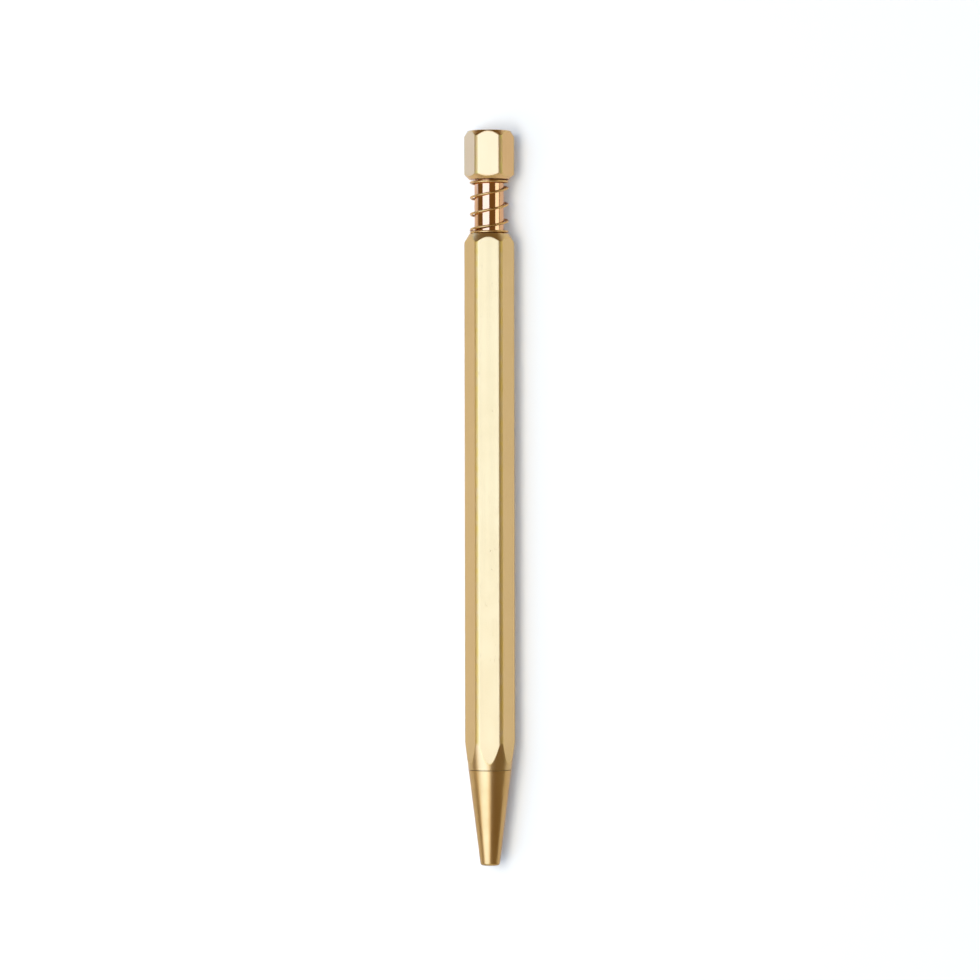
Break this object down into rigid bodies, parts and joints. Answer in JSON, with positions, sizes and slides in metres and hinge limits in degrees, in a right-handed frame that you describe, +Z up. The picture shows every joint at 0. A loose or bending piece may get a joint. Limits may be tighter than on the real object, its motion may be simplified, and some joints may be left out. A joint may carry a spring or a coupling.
{
  "type": "ballpoint pen",
  "caption": "Hexagonal brass ballpoint pen with a turned nose cone, a hexagonal push cap and an exposed knock spring around its rod.",
  "frame": {"origin": "on the ground under the middle of the pen, where it lies on one flat of its barrel", "axes": "+Y along the pen from the nose to the cap, +Z up out of the top flat, +X to the right across the flats"},
  "size_m": [0.009, 0.1322, 0.008],
  "materials": {
    "bar_brass": "polished, lightly brushed along its length",
    "polished_brass": "mirror polished",
    "turned_brass": "satin, fine turning marks",
    "plain_brass": "as turned",
    "bronze_wire": "drawn wire",
    "steel": "plain",
    "nickel_silver": "drawn and turned",
    "rubber": "matte",
    "ink": "wet",
    "plastic": "moulded"
  },
  "bodies": {
    "barrel": {"barrel": "bar_brass", "guide_bush": "plain_brass", "lock_sleeve": "plain_brass", "knock_spring": "bronze_wire"},
    "refill": {"refill_tube": "nickel_silver", "refill_nib": "nickel_silver", "refill_ink": "ink", "refill_plug": "plastic"},
    "knock": {"knock_cap": "bar_brass", "knock_rod": "polished_brass", "lock_pin": "steel"},
    "point_ball": {"refill_ball": "steel"},
    "nose_seal": {"nose_o_ring": "rubber", "refill_spring": "steel"},
    "nose": {"nose_cone": "turned_brass"}
  },
  "joints": [
    {"name": "knock_press", "type": "slide", "parent": "barrel", "child": "refill", "axis": [0, -1, 0], "range_m": [0, 0.005], "stiffness_N_per_m": 900, "springref_m": -0.0015, "deforming": ["knock_spring", "refill_spring"]},
    {"name": "knock_turn", "type": "hinge", "parent": "refill", "child": "knock", "pos_m": [0, 0.05735, 0.004], "axis": [0, 1, 0], "range_deg": [0, 60]},
    {"name": "ball_roll", "type": "hinge", "parent": "refill", "child": "point_ball", "pos_m": [0, -0.06355, 0.004], "axis": [1, 0, 0], "continuous": true},
    {"name": "nose_advance", "type": "slide", "parent": "barrel", "child": "nose_seal", "axis": [0, -1, 0], "range_m": [0, 0.006]},
    {"name": "nose_unscrew", "type": "hinge", "parent": "nose_seal", "child": "nose", "pos_m": [0, -0.04895, 0.004], "axis": [0, -1, 0], "range_deg": [0, 2890]}
  ],
  "couplings": [
    {"joint": "nose_unscrew", "follows": "nose_advance", "rad_per_m": 8377.6}
  ]
}
